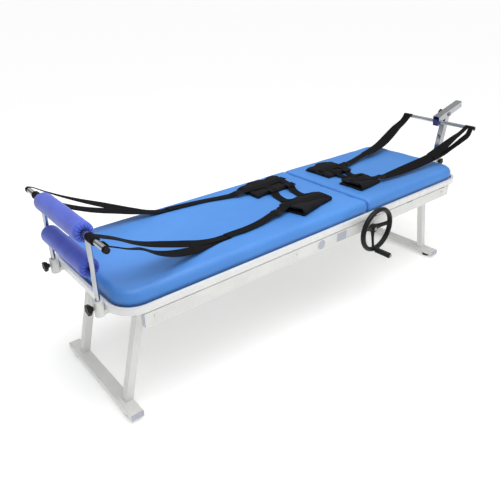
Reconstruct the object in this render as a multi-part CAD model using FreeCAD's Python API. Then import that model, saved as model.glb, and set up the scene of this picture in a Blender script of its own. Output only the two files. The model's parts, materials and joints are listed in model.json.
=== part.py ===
import FreeCAD, Part
import math
import os

# Manual traction bed: a fixed frame and head section, a foot section that slides out on
# guide rods, a foot-end post frame with two rollers, and a head-end post with a tilting arm.
# Working frame while modelling: x = 0 at the foot-end floor bar, y = 0 on the centre line,
# z = 0 on the floor, +X towards the head end. Everything is centred at the end. Millimetres.

# --- driving dimensions -------------------------------------------------------------
frameSpacing = 1900.0      # between the two floor bars
barLength = 540.0          # floor bar, across
barWidth = 50.0
barHeight = 25.0
wall = 2.0                 # tube wall
footHeight = 16.0          # levelling foot under the bar
legSize = 30.0
legSpread = 183.0          # leg centre from the centre line
legLean = 13.8             # degrees, feet outwards
trayLength = 2000.0
trayWidth = 596.0
trayBottom = 456.0
trayHeight = 25.0
trayStart = -24.0          # foot end of the tray
trayCorner = 100.0
floorPlate = 12.0          # thickness of the pan under the pad
rimWidth = 12.0
padTop = 530.0
padRound = 18.0            # rounding of the pad's top edge, square at the joint
seam = 1214.0              # joint between the two sections
seamGap = 1.0              # half of the gap between them
railStart = 60.0
railEnd = 1865.0
railHeight = 52.0
railDepth = 20.0
railTop = 452.0
crossDepth = 30.0
crossHeight = 40.0
crossX = (100.0, 750.0, 1240.0, 1805.0)
rodSpread = 120.0
rodRadius = 8.0
rodZ = 432.0
fit = 0.05                 # radial running clearance
gap = 0.5                  # gap between parts that move past each other
wheelX = 1195.0
wheelY = -351.0
wheelZ = 423.0
wheelRadius = 93.5
wheelTube = 10.0
spokeAngles = (5.0, 165.0, 265.0)
shaftRadius = 8.0
screwY = -180.0
screwRadius = 10.0
gearRadius = 20.0
gearTeeth = 16
toothDepth = 3.0
postSpread = 185.0
postX = -41.0
postRadius = 8.5
collarLength = 20.0        # tee collar of a post, on the top bar
socketRadius = 17.0
socketLow = 437.0
socketHigh = 493.0
topBarZ = 727.0
topBarRadius = 9.5
topBarHalf = 316.0
lowerBarZ = 603.0
lowerBarRadius = 7.5
rollerRadius = 34.0
rollerHalf = 173.0
headLean = 7.7             # degrees, head post leaning away from the bed
headBaseX = 2208.0
headBaseZ = 392.0
headPost = (40.0, 30.0)    # along the bed, across it
pivotHeight = 327.0        # along the post from its base
armPitch = 15.0            # degrees above level
armBack = 100.0
armFront = 130.0
armOffset = 8.0
armSize = (36.0, 39.0)     # deep, wide
armWall = 4.0
armBolt = 5.0
armEye = 18.0              # eye hole from the arm's outer end
spreaderHalf = 222.0
spreaderRadius = 9.5
knobRadius = 20.0
strapWidth = 28.0
strapThick = 3.0
cushionThick = 22.0        # belts lying on the pads
plateThick = 0.6           # blank plates on the front rail
discX = 895.0
discRadius = 21.0
labelX = 1021.0
labelWidth = 60.0
labelHeight = 38.0
footInset = 50.0           # levelling foot from the end of its bar

V = FreeCAD.Vector
X = V(1, 0, 0)
Y = V(0, 1, 0)
Z = V(0, 0, 1)
nodes = {}


# --- helpers ---------------------------------------------------------------------------
def box(x0, x1, y0, y1, z0, z1):
    return Part.makeBox(x1 - x0, y1 - y0, z1 - z0, V(x0, y0, z0))


def rod(radius, start, axis, length):
    return Part.makeCylinder(radius, length, start, axis)


def ring(outer, inner, start, axis, length):
    return rod(outer, start, axis, length).cut(rod(inner, start - axis, axis, length + 2))


def fuse(shapes):
    return shapes[0].multiFuse(shapes[1:]).removeSplitter()


def group(shapes):
    solids = [s for shape in shapes for s in shape.Solids]
    return Part.makeCompound(solids)


def roundEdges(shape, radius, pick):
    return shape.makeFillet(radius, [e for e in shape.Edges if pick(e)])


def alongAxis(edge, axis):
    if not isinstance(edge.Curve, Part.Line):
        return False
    return abs(abs(edge.Curve.Direction.dot(axis)) - 1) < 1e-6


def tubeBox(x0, x1, y0, y1, z0, z1, axis):
    """A rounded rectangular tube, open at both ends, that runs along the axis."""
    outer = roundEdges(box(x0, x1, y0, y1, z0, z1), 3.0, lambda e: alongAxis(e, axis))
    lows = [x0, y0, z0]
    highs = [x1, y1, z1]
    for i, part in enumerate((axis.x, axis.y, axis.z)):
        inset = -1.0 if part else wall
        lows[i] += inset
        highs[i] -= inset
    inner = box(lows[0], highs[0], lows[1], highs[1], lows[2], highs[2])
    return outer.cut(inner)


def plate(outline, axis, depth):
    points = [V(*p) for p in outline]
    face = Part.Face(Part.makePolygon(points + points[:1]))
    return face.extrude(axis * depth)


def strip(route, width, thick):
    """A flat band through (centre, across) stations: a closed solid with flat facets."""
    stations = []
    for i, (centre, across) in enumerate(route):
        before = route[max(i - 1, 0)][0]
        after = route[min(i + 1, len(route) - 1)][0]
        run = (V(*after) - V(*before)).normalize()
        side = V(*across)
        side = (side - run * side.dot(run)).normalize() * (width / 2)
        up = side.cross(run).normalize() * (thick / 2)
        c = V(*centre)
        stations.append((c - side - up, c + side - up, c + side + up, c - side + up))
    faces = [Part.Face(Part.makePolygon([*quad[:3], quad[0]])) for quad in (stations[0], stations[-1])]
    faces += [Part.Face(Part.makePolygon([q[0], q[2], q[3], q[0]])) for q in (stations[0], stations[-1])]
    for a, b in zip(stations, stations[1:]):
        for i in range(4):
            j = (i + 1) % 4
            faces.append(Part.Face(Part.makePolygon([a[i], a[j], b[j], a[i]])))
            faces.append(Part.Face(Part.makePolygon([a[i], b[j], b[i], a[i]])))
    solid = Part.Solid(Part.Shell(faces))
    if solid.Volume < 0:
        solid.reverse()
    return solid


def starKnob(start, axis, reach):
    """A five-lobed grip with its moulded-in stud; start is the stud's tip."""
    side = Z if abs(axis.z) < 0.9 else X
    other = axis.cross(side).normalize()
    side = other.cross(axis).normalize()
    base = start + axis * reach
    lobes = [rod(knobRadius * 0.62, base, axis, 14.0), rod(9.0, base - axis * 6, axis, 7.0)]
    for i in range(5):
        a = math.radians(72 * i + 90)
        centre = base + side * (math.sin(a) * knobRadius * 0.66) + other * (math.cos(a) * knobRadius * 0.66)
        lobes.append(rod(knobRadius * 0.34, centre, axis, 14.0))
    grip = fuse(lobes).cut(rod(4.0, base - axis * 7, axis, 16.0))
    stud = rod(4.0, start, axis, reach + 9.0)
    return group([grip, stud])


def lean(shape):
    """Tilt a shape built upright on the head post's own axis."""
    turned = shape.copy()
    turned.rotate(V(0, 0, 0), Y, headLean)
    turned.translate(V(headBaseX, 0, headBaseZ))
    return turned


def leanPoint(x, y, z):
    a = math.radians(headLean)
    return V(headBaseX + x * math.cos(a) + z * math.sin(a), y, headBaseZ - x * math.sin(a) + z * math.cos(a))


# --- the fixed frame -------------------------------------------------------------------------
def rails():
    front = -trayWidth / 2 + 1
    low = railTop - railHeight
    bush = rod(11.0, V(wheelX, front - 5, wheelZ), Y, railDepth + 10)
    nodes["front_rail"] = tubeBox(railStart, railEnd, front, front + railDepth, low, railTop, X).cut(bush)
    nodes["rear_rail"] = tubeBox(railStart, railEnd, -front - railDepth, -front, low, railTop, X)
    collar = ring(11.0, shaftRadius + fit, V(wheelX, front - 4, wheelZ), Y, railDepth + 8)
    flange = ring(17.0, 11.0, V(wheelX, front - 4, wheelZ), Y, 4.0)
    nodes["shaft_bushing"] = fuse([collar, flange])
    middle = railTop - railHeight / 2
    disc = rod(discRadius, V(discX, front, middle), V(0, -1, 0), plateThick)
    label = box(labelX - labelWidth / 2, labelX + labelWidth / 2, front - plateThick, front,
                middle - labelHeight / 2, middle + labelHeight / 2)
    nodes["rail_plates"] = group([disc, label])


def crossTubes():
    half = trayWidth / 2 - 1 - railDepth
    tubes = []
    for x in crossX:
        tube = tubeBox(x - crossDepth / 2, x + crossDepth / 2, -half, half, railTop - crossHeight, railTop, Y)
        for y in (-rodSpread, rodSpread):
            tube = tube.cut(rod(rodRadius, V(x - crossDepth, y, rodZ), X, 2 * crossDepth))
        tubes.append(tube)
    nodes["cross_tubes"] = group(tubes)


def legs():
    top = railTop - crossHeight
    low = footHeight + barHeight
    shift = (top - low) * math.tan(math.radians(legLean))
    half = legSize / 2 / math.cos(math.radians(legLean))
    hollow = half - wall
    for name, footX, turn in (("foot_end_legs", crossX[0], -1), ("head_end_legs", crossX[3], 1)):
        solids = []
        for y in (-legSpread, legSpread):
            def outline(h, y0, grow):
                return [(footX - h, y0, top + grow), (footX + h, y0, top + grow),
                        (footX + turn * shift + h, y0, low - grow), (footX + turn * shift - h, y0, low - grow)]
            outer = plate(outline(half, y - legSize / 2, 0), Y, legSize)
            inner = plate(outline(hollow, y - legSize / 2 + wall, 0.001), Y, legSize - 2 * wall)
            solids.append(outer.cut(inner))
            for side in (-1, 1):
                face = footX + side * half
                corner = [(face, y - 2, top), (face + side * 26, y - 2, top),
                          (face + turn * 40 * math.tan(math.radians(legLean)), y - 2, top - 40)]
                solids.append(plate(corner, Y, 4.0))
        nodes[name] = group(solids)


def floorBars():
    plugs = []
    bolts = []
    for name, x in (("foot_end_floor_bar", 0.0), ("head_end_floor_bar", frameSpacing)):
        tube = tubeBox(x - barWidth / 2, x + barWidth / 2, -barLength / 2, barLength / 2,
                       footHeight, footHeight + barHeight, Y)
        for y in (-1, 1):
            end = y * barLength / 2
            hole = rod(4.0 + fit, V(x, y * (barLength / 2 - footInset), footHeight - 1), Z, wall + 2)
            tube = tube.cut(hole)
            plug = box(x - barWidth / 2 + wall, x + barWidth / 2 - wall, min(end, end - y * 12),
                       max(end, end - y * 12), footHeight + wall, footHeight + barHeight - wall)
            cap = box(x - barWidth / 2 + 0.5, x + barWidth / 2 - 0.5, min(end, end + y * 3),
                      max(end, end + y * 3), footHeight + 0.5, footHeight + barHeight - 0.5)
            plugs.append(fuse([plug, cap]))
        nodes[name] = tube
    half = trayWidth / 2 - 1
    for y in (-half + railDepth / 2, half - railDepth / 2):
        for x, turn in ((railStart, 1), (railEnd, -1)):
            inside = box(min(x, x + turn * 12), max(x, x + turn * 12), y - railDepth / 2 + wall,
                         y + railDepth / 2 - wall, railTop - railHeight + wall, railTop - wall)
            cap = box(min(x, x - turn * 3), max(x, x - turn * 3), y - railDepth / 2 + 0.5,
                      y + railDepth / 2 - 0.5, railTop - railHeight + 0.5, railTop - 0.5)
            plugs.append(fuse([inside, cap]))
    nodes["tube_end_plugs"] = group(plugs)
    for x in crossX:
        for side in (-1, 1):
            y = side * half
            bolts.append(Part.makeSphere(7.0, V(x, y, railTop - 20), V(0, side, 0), 0, 90, 360)
                         .common(rod(5.4, V(x, y, railTop - 20), V(0, side, 0), 6.0)))
    nodes["frame_bolts"] = group(bolts)
    for index, (x, y) in enumerate(((0, -1), (0, 1), (frameSpacing, -1), (frameSpacing, 1))):
        centre = V(x, y * (barLength / 2 - footInset), 0)
        pad = rod(19.0, centre, Z, 6.0)
        cone = Part.makeCone(17.0, 8.0, 6.0, centre + Z * 6, Z)
        nut = rod(7.0, centre + Z * 12, Z, 3.4)
        stud = rod(4.0, centre + Z * 15, Z, footHeight + 3.0)
        nodes["levelling_foot_%d" % (index + 1)] = fuse([pad, cone, nut, stud])


def guides():
    start = crossX[0] - crossDepth / 2
    end = crossX[2] + crossDepth / 2
    rods = [rod(rodRadius, V(start, y, rodZ), X, end - start) for y in (-rodSpread, rodSpread)]
    nodes["guide_rods"] = group(rods)
    collars = []
    for y in (-rodSpread, rodSpread):
        for x, turn in ((crossX[0] + crossDepth / 2, 1), (crossX[2] - crossDepth / 2, -1)):
            collars.append(ring(15.0, rodRadius, V(min(x, x + turn * 12), y, rodZ), X, 12.0))
    nodes["rod_collars"] = group(collars)


def gearbox():
    back = crossX[2] - crossDepth / 2
    low = wheelZ - 27.0
    high = wheelZ + 27.0
    shell = box(back - 60, back, screwY - 34, screwY + 34, low, high)
    room = box(back - 56, back - 4, screwY - 30, screwY + 30, low + 4, high - 4)
    shell = roundEdges(shell, 5.0, lambda e: alongAxis(e, X)).cut(room)
    shell = shell.cut(rod(shaftRadius + fit, V(wheelX, screwY - 40, wheelZ), Y, 20))
    shell = shell.cut(rod(shaftRadius + fit, V(back - 70, screwY, wheelZ), X, 20))
    nodes["gearbox_housing"] = shell
    x = crossX[1] + crossDepth / 2
    block = box(x, x + 24, screwY - 20, screwY + 20, wheelZ - 20, wheelZ + 20)
    nodes["screw_bearing"] = block.cut(rod(shaftRadius + fit, V(x - 1, screwY, wheelZ), X, 26))


def headTray():
    half = trayWidth / 2
    end = trayStart + trayLength
    outer = box(seam + seamGap, end, -half, half, trayBottom, trayBottom + trayHeight)
    outer = roundEdges(outer, trayCorner, lambda e: alongAxis(e, Z) and e.BoundBox.XMin > end - 1)
    inside = half - rimWidth
    pocket = box(seam - 9, end - rimWidth, -inside, inside, trayBottom + floorPlate, padTop)
    pocket = roundEdges(pocket, trayCorner - rimWidth, lambda e: alongAxis(e, Z) and e.BoundBox.XMin > seam)
    nodes["head_tray"] = outer.cut(pocket)
    nodes["head_pad"] = padSolid(seam + seamGap, end - rimWidth - gap, True)
    low = trayBottom - 4.0
    packers = [box(x - 20, x + 20, y - 10, y + 10, low, trayBottom)
               for x in (crossX[2] + 4, 1520.0, crossX[3]) for y in (-half + 11, half - 11)]
    nodes["tray_packers"] = group(packers)


def padSolid(x0, x1, headEnd):
    inside = trayWidth / 2 - rimWidth - gap
    radius = trayCorner - rimWidth - gap
    bottom = trayBottom + floorPlate
    blank = box(x0, x1, -inside, inside, bottom, padTop)
    outer, joint = (x1, x0) if headEnd else (x0, x1)
    blank = roundEdges(blank, radius, lambda e: alongAxis(e, Z) and abs(e.BoundBox.XMin - outer) < 1)
    return roundEdges(blank, padRound, lambda e: e.BoundBox.ZMin > padTop - 1
                      and abs(e.BoundBox.XMin - joint) + e.BoundBox.XLength > 1)


def headExtension():
    half = 25.0
    top = railTop - crossHeight
    end = headBaseX + 40
    nodes["head_extension_tube"] = tubeBox(crossX[2] - 15, end, -half, half, top - 30, top, X)
    x, y = headPost
    outer = roundEdges(box(-x / 2 - 7, x / 2 + 7, -y / 2 - 7, y / 2 + 7, -20, 72), 6.0,
                       lambda e: alongAxis(e, Z))
    bore = box(-x / 2 - gap / 2, x / 2 + gap / 2, -y / 2 - gap / 2, y / 2 + gap / 2, 30, 80)
    threaded = rod(4.0 + fit, V(0, -y / 2 - 10, 52), Y, 12)
    socket = lean(outer.cut(bore).cut(threaded))
    below = box(headBaseX - 100, headBaseX + 100, -60, 60, headBaseZ - 60, top)
    nodes["head_post_socket"] = socket.cut(below)


# --- the sliding foot section -------------------------------------------------------------
def footTray():
    half = trayWidth / 2
    end = seam - seamGap
    outer = box(trayStart, end, -half, half, trayBottom, trayBottom + trayHeight)
    outer = roundEdges(outer, trayCorner, lambda e: alongAxis(e, Z) and e.BoundBox.XMax < trayStart + 1)
    inside = half - rimWidth
    pocket = box(trayStart + rimWidth, end + 9, -inside, inside, trayBottom + floorPlate, padTop)
    pocket = roundEdges(pocket, trayCorner - rimWidth, lambda e: alongAxis(e, Z) and e.BoundBox.XMax < end)
    nodes["foot_tray"] = outer.cut(pocket)
    nodes["foot_pad"] = padSolid(trayStart + rimWidth + gap, end, False)


def slides():
    blocks = []
    for x in (330.0, 1050.0):
        for y in (-rodSpread, rodSpread):
            block = box(x - 30, x + 30, y - 18, y + 18, rodZ - 18, trayBottom)
            blocks.append(block.cut(rod(rodRadius + fit, V(x - 31, y, rodZ), X, 62)))
    nodes["slide_blocks"] = group(blocks)
    x = 1080.0
    nut = rod(18.0, V(x - 20, screwY, wheelZ), X, 40)
    web = box(x - 15, x + 15, screwY - 14, screwY + 14, wheelZ, trayBottom)
    nodes["drive_nut"] = fuse([nut, web]).cut(rod(screwRadius + fit, V(x - 21, screwY, wheelZ), X, 42))


def postSockets():
    solids = []
    for y in (-postSpread, postSpread):
        tube = rod(socketRadius, V(postX, y, socketLow), Z, socketHigh - socketLow)
        arm = box(postX, 44.0, y - 12, y + 12, socketLow + 3, trayBottom)
        bore = rod(postRadius + fit, V(postX, y, socketLow + 5), Z, 60)
        side = rod(4.0 + fit, V(postX - socketRadius - 2, y, 470), X, socketRadius)
        solids.append(fuse([tube, arm]).cut(bore).cut(side))
    nodes["post_sockets"] = group(solids)


def belt(x0, x1, y0, y1, skew, base):
    low = [(x0, y0, base), (x1 - skew, y0 - skew / 4, base), (x1, y1 - skew, base), (x0 + skew / 2, y1, base)]
    return roundEdges(plate(low, Z, cushionThick), 6.0, lambda e: e.BoundBox.ZMin > base + cushionThick - 1)


def belts():
    base = padTop + 0.5
    nodes["pelvic_belt"] = group([belt(836, 1108, 46, 236, 24, base), belt(836, 1112, -214, -56, 24, base)])
    nodes["chest_belt"] = group([belt(1282, 1480, 30, 216, 20, base), belt(1266, 1440, -190, -36, 16, base)])
    lift = base + 9
    for name, places, y0, y1 in (("pelvic", (930, 1000), -55, 40), ("chest", (1350, 1395), -35, 22)):
        middle = (y0 + y1) / 2
        nodes[name + "_buckle_straps"] = group([
            strip([((x, y0, lift), X), ((x, middle, lift + 3), X), ((x, y1, lift), X)], strapWidth, strapThick)
            for x in places])


# --- foot-end post frame --------------------------------------------------------------------
def postFrame():
    bar = rod(topBarRadius, V(postX, -topBarHalf, topBarZ), Y, 2 * topBarHalf)
    posts = []
    for y in (-postSpread, postSpread):
        start = V(postX, y - collarLength / 2, topBarZ)
        collar = rod(topBarRadius + 4, start, Y, collarLength)
        post = rod(postRadius, V(postX, y, socketLow + 6), Z, topBarZ - socketLow - 6)
        posts += [post.cut(collar), collar.cut(bar)]
    nodes["foot_posts"] = group(posts)
    nodes["top_bar"] = bar.cut(rod(topBarRadius - wall, V(postX, -topBarHalf - 1, topBarZ), Y, 2 * topBarHalf + 2))
    lower = rod(lowerBarRadius, V(postX, -postSpread, lowerBarZ), Y, 2 * postSpread)
    nodes["lower_bar"] = lower.cut(nodes["foot_posts"])
    caps = []
    for y in (-1, 1):
        end = V(postX, y * topBarHalf, topBarZ)
        plug = rod(topBarRadius - wall, end, V(0, -y, 0), 10.0)
        caps.append(fuse([plug, rod(topBarRadius + 0.5, end, V(0, y, 0), 4.0)]))
    nodes["bar_end_caps"] = group(caps)


def rollers():
    for name, z, radius in (("upper_roller", topBarZ, topBarRadius), ("lower_roller", lowerBarZ, lowerBarRadius)):
        start = V(postX, -rollerHalf, z)
        body = rod(rollerRadius, start, Y, 2 * rollerHalf)
        body = roundEdges(body, 12.0, lambda e: e.BoundBox.YLength < 1)
        nodes[name] = body.cut(rod(radius + fit, start - Y, Y, 2 * rollerHalf + 2))


def footKnobs():
    for name, y in (("foot_knob_near", -postSpread), ("foot_knob_far", postSpread)):
        tip = V(postX - postRadius - gap, y, 470)
        nodes[name] = starKnob(tip, V(-1, 0, 0), 19.0)


def footStraps():
    """Webbing from the top bar to the pelvic belt: two branches a side that join on the pad."""
    solids = []
    rest = padTop + 3.0
    inner = topBarRadius + 0.4
    for side, joinX, joinY, beltX, beltY in ((-1, 366, 138, 830, 132), (1, 466, 214, 830, 190)):
        for y, width, drop in ((216, strapWidth, 18), (307, 12, 8)):
            solids.append(ring(inner + strapThick, inner, V(postX, side * y - width / 2, topBarZ), Y, width))
            route = [((postX + 16.5, side * y, topBarZ), Y)]
            for t in (0.2, 0.45, 0.7):
                x = postX + 16 + (joinX - postX - 16) * t
                z = topBarZ + (rest + 1 - topBarZ) * t - drop * math.sin(math.pi * t)
                route.append(((x, side * (y + (joinY - y) * t), z), Y))
            route.append(((joinX - 2 if y > 300 else joinX - 6, side * (joinY + (22 if y > 300 else -14)), rest + 3), Y))
            solids.append(strip(route, 12.0 if y > 300 else strapWidth - 8, strapThick))
        route = [((joinX, side * joinY, rest), Y), (((joinX + beltX) / 2, side * (joinY + beltY) / 2, rest), Y),
                 ((beltX, side * beltY, rest), Y)]
        solids.append(strip(route, strapWidth, strapThick))
    nodes["foot_straps"] = group(solids)


# --- drive ----------------------------------------------------------------------------------
def onWheel(angle, radius, y):
    a = math.radians(angle)
    return V(wheelX + radius * math.cos(a), y, wheelZ + radius * math.sin(a))


def handwheel():
    rim = Part.makeTorus(wheelRadius, wheelTube, V(wheelX, wheelY, wheelZ), Y)
    hub = rod(22.0, V(wheelX, wheelY + 5, wheelZ), Y, 26.0)
    parts = [rim, hub]
    for angle in spokeAngles:
        a = math.radians(angle)
        out = V(math.cos(a), 0, math.sin(a))
        across = V(-math.sin(a), 0, math.cos(a))
        wires = []
        for radius, y, wide, thick in ((14.0, wheelY + 20, 22.0, 15.0), (wheelRadius - 2, wheelY + 1, 15.0, 11.0)):
            c = V(wheelX, y, wheelZ) + out * radius
            corner = [c - across * wide / 2 - Y * thick / 2, c + across * wide / 2 - Y * thick / 2,
                      c + across * wide / 2 + Y * thick / 2, c - across * wide / 2 + Y * thick / 2]
            wires.append(Part.makePolygon(corner + corner[:1]))
        parts.append(Part.makeLoft(wires, True, True))
    pinHole = rod(4.0, onWheel(spokeAngles[2], wheelRadius, wheelY - 20), Y, 24.0)
    bore = rod(shaftRadius, V(wheelX, wheelY + 12, wheelZ), Y, 30.0)
    nodes["handwheel"] = fuse(parts).cut(bore).cut(pinHole)
    cap = Part.makeCone(6.0, 8.5, 3.0, V(wheelX, wheelY + 2, wheelZ), Y)
    nodes["hub_cap"] = cap
    nodes["wheel_shaft"] = rod(shaftRadius, V(wheelX, wheelY + 12, wheelZ), Y, screwY - gearRadius - wheelY - 12)
    pin = onWheel(spokeAngles[2], wheelRadius, wheelY + 4)
    nodes["handle_pin"] = group([rod(4.0, pin, V(0, -1, 0), 96.0).fuse(rod(7.0, pin - Y * 96.0, V(0, -1, 0), 3.0))])
    grip = Part.makeCylinder(12.5, 80.0, onWheel(spokeAngles[2], wheelRadius, wheelY - 91.5), Y)
    grip = roundEdges(grip, 5.0, lambda e: e.BoundBox.YLength < 1 and e.BoundBox.YMin < wheelY - 80)
    nodes["crank_handle"] = grip.cut(rod(4.0 + fit, pin - Y * 100, Y, 110.0))


def bevel(apex, axis):
    """A 45 degree bevel gear: its pitch cone points at the apex; toothed outlines, lofted."""
    other = axis.cross(Z)
    tip = gearRadius - 0.6
    profile = ((0.0, tip - toothDepth), (0.15, tip), (0.5, tip), (0.65, tip - toothDepth))
    wires = []
    for share in (1.0, 0.5):
        centre = apex + axis * gearRadius * share
        points = []
        for i in range(gearTeeth):
            for step, radius in profile:
                a = 2 * math.pi * (i + step) / gearTeeth
                points.append(centre + (Z * math.sin(a) + other * math.cos(a)) * radius * share)
        wires.append(Part.makePolygon(points + points[:1]))
    return Part.makeLoft(wires, True, True)


def drive():
    apex = V(wheelX, screwY, wheelZ)
    nodes["drive_gear"] = bevel(apex, V(0, -1, 0))
    nodes["driven_gear"] = bevel(apex, V(-1, 0, 0))
    end = crossX[2] - crossDepth / 2 - 60.0
    start = crossX[1] + crossDepth / 2
    journal = rod(shaftRadius, V(start, screwY, wheelZ), X, wheelX - gearRadius - start)
    thread = rod(screwRadius, V(start + 26, screwY, wheelZ), X, end - start - 28)
    nodes["lead_screw"] = fuse([journal, thread])


# --- head post and arm -------------------------------------------------------------------
def headPostParts():
    x, y = headPost
    tube = roundEdges(box(-x / 2, x / 2, -y / 2, y / 2, 32, pivotHeight), 3.0, lambda e: alongAxis(e, Z))
    tube = tube.fuse(rod(x / 2, V(0, -y / 2, pivotHeight), Y, y))
    tube = tube.cut(box(-x / 2 + wall, x / 2 - wall, -y / 2 + wall, y / 2 - wall, 31, pivotHeight - 12))
    tube = tube.cut(rod(armBolt, V(0, -30, pivotHeight), Y, 60))
    nodes["head_post"] = lean(tube)
    tip = leanPoint(0, -y / 2 - gap, 52)
    nodes["head_knob"] = starKnob(tip, V(0, -1, 0), 17.0)


def toArm(shape):
    """Move a shape built along +X at the pivot to the arm's pitch."""
    turned = shape.copy()
    turned.rotate(V(0, 0, 0), Y, -armPitch)
    turned.translate(leanPoint(0, 0, pivotHeight))
    return turned


def armPoint(s, y, h):
    a = math.radians(armPitch)
    pivot = leanPoint(0, 0, pivotHeight)
    return V(pivot.x + s * math.cos(a) - h * math.sin(a), y, pivot.z + s * math.sin(a) + h * math.cos(a))


def headArm():
    deep, wide = armSize
    low = armOffset - deep / 2
    high = armOffset + deep / 2
    outer = roundEdges(box(-armBack, armFront, -wide / 2, wide / 2, low, high), 4.0,
                       lambda e: alongAxis(e, X) and e.BoundBox.ZMin > 0)
    inner = box(-armBack - 1, armFront + 1, -wide / 2 + armWall, wide / 2 - armWall, low - 1, high - armWall)
    channel = outer.cut(inner)
    channel = channel.cut(rod(armBolt + fit, V(0, -40, 0), Y, 80))
    channel = channel.cut(rod(armBolt, V(armFront - armEye, -40, armOffset), Y, 80))
    channel = toArm(channel)
    bar = armPoint(-armBack + 17, 0, -12)
    barRod = rod(spreaderRadius, V(bar.x, -spreaderHalf, bar.z), Y, 2 * spreaderHalf)
    block = box(-armBack - 8, -armBack + 34, -wide / 2 + armWall, wide / 2 - armWall, -29, armOffset)
    nodes["head_arm"] = channel.cut(barRod)
    nodes["spreader_block"] = toArm(roundEdges(block, 4.0, lambda e: alongAxis(e, Y))).cut(barRod)
    hollow = rod(spreaderRadius - wall, V(bar.x, -spreaderHalf - 1, bar.z), Y, 2 * spreaderHalf + 2)
    nodes["spreader_bar"] = barRod.cut(hollow)
    ends = [rod(spreaderRadius - wall, V(bar.x, side * spreaderHalf, bar.z), V(0, -side, 0), 10.0)
            .fuse(rod(spreaderRadius + 1, V(bar.x, side * spreaderHalf, bar.z), V(0, side, 0), 3.0))
            for side in (-1, 1)]
    nodes["spreader_end_caps"] = group(ends)
    pivot = leanPoint(0, 0, pivotHeight)
    face = wide / 2 + gap
    shank = rod(armBolt, pivot - Y * (face + 2), Y, 2 * face + 4)
    head = rod(9.0, pivot - Y * (face + 8), Y, 6.0)
    spacer = ring(13.0, armBolt, pivot - Y * (face + 2), Y, 2.0)
    nodes["pivot_bolt"] = fuse([shank, head, spacer])
    nodes["arm_knob"] = starKnob(pivot + Y * (face + 2 + gap), Y, 7.0)
    return bar


def headStraps(bar):
    """Webbing from the spreader bar down to the chest belt, in two lengths a side."""
    rest = padTop + 16.0
    lower = []
    loops = []
    inner = spreaderRadius + 0.4
    for side, joinX, joinY, joinZ, beltX, beltY in ((-1, 1856, 180, 579, 1448, 150), (1, 1700, 130, 556, 1486, 96)):
        route = [((beltX, side * beltY, rest), Y), ((beltX + 60, side * (beltY + 5), rest), Y)]
        for t in (0.5, 0.8, 1.0):
            x = beltX + (joinX - beltX) * t
            z = rest + (joinZ - rest) * t * t
            route.append(((x, side * (beltY + (joinY - beltY) * t), z), Y))
        lower.append(strip(route, strapWidth + 8, strapThick))
        for y, shift in ((spreaderHalf - 40, -12), (spreaderHalf - 12, 14)):
            loops.append(ring(inner + strapThick, inner, V(bar.x, side * y - 12, bar.z), Y, 24.0))
            route = [((joinX + 4, side * (joinY + shift), joinZ + 1), Y)]
            for t in (0.3, 0.6, 0.85):
                x = joinX + (bar.x - joinX) * t
                z = joinZ + (bar.z - joinZ) * t - 26 * math.sin(math.pi * t)
                route.append(((x, side * (joinY + shift + (y - joinY - shift) * t), z), Y))
            route.append(((bar.x - 14, side * y, bar.z - 4), Y))
            loops.append(strip(route, strapWidth - 8, strapThick))
    nodes["chest_straps"] = group(lower)
    nodes["spreader_loops"] = group(loops)


def build():
    rails()
    crossTubes()
    legs()
    floorBars()
    guides()
    gearbox()
    headTray()
    headExtension()
    footTray()
    slides()
    postSockets()
    belts()
    postFrame()
    rollers()
    footKnobs()
    footStraps()
    handwheel()
    drive()
    headPostParts()
    headStraps(headArm())


def centring():
    """The move that puts the origin under the middle of the whole object, on the floor."""
    size = Part.makeCompound(list(nodes.values())).optimalBoundingBox(False)
    print("nodes", len(nodes), "size", size.XLength, size.YLength, size.ZLength)
    return V(-size.Center.x, -size.Center.y, -size.ZMin)


def write():
    os.makedirs("parts", exist_ok=True)
    for name, shape in nodes.items():
        shape.translate(shift)
        shape.exportStep("parts/%s.step" % name)
        if not shape.isValid() or any(s.Volume <= 0 for s in shape.Solids):
            print("not a sound solid:", name)


build()
shift = centring()
write()
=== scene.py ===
import json
import math
import bpy
import numpy as np
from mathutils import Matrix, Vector
from mathutils.bvhtree import BVHTree


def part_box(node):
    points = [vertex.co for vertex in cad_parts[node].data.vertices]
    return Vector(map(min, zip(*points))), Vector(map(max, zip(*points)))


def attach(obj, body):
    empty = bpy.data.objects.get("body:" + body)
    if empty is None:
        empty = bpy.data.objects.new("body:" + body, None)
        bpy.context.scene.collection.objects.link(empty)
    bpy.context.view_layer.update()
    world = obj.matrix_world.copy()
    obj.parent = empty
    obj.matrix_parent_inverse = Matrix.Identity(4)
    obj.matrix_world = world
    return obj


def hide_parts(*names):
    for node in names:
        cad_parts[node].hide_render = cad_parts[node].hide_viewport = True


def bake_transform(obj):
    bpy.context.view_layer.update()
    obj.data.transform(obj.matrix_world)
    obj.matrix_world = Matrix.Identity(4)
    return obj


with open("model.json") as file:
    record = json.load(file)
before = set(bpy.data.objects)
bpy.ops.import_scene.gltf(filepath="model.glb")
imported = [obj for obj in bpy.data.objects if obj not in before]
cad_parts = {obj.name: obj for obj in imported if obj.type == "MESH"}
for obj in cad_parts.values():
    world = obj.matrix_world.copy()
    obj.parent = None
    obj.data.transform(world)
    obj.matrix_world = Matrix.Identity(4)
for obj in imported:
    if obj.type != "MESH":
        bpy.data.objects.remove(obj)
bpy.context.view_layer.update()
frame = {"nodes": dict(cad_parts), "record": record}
nodes = frame["nodes"]

# Places are in millimetres from the middle of the foot-end floor bar, on the floor:
# x towards the head end, y towards the far side, z up.
barLow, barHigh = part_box("foot_end_floor_bar")
zero = np.array([(barLow.x + barHigh.x) / 2, (barLow.y + barHigh.y) / 2, 0.0])


def place(points):
    return np.asarray(points, float) / 1000 + zero


def spot(point):
    return Vector(place(point))


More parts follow.
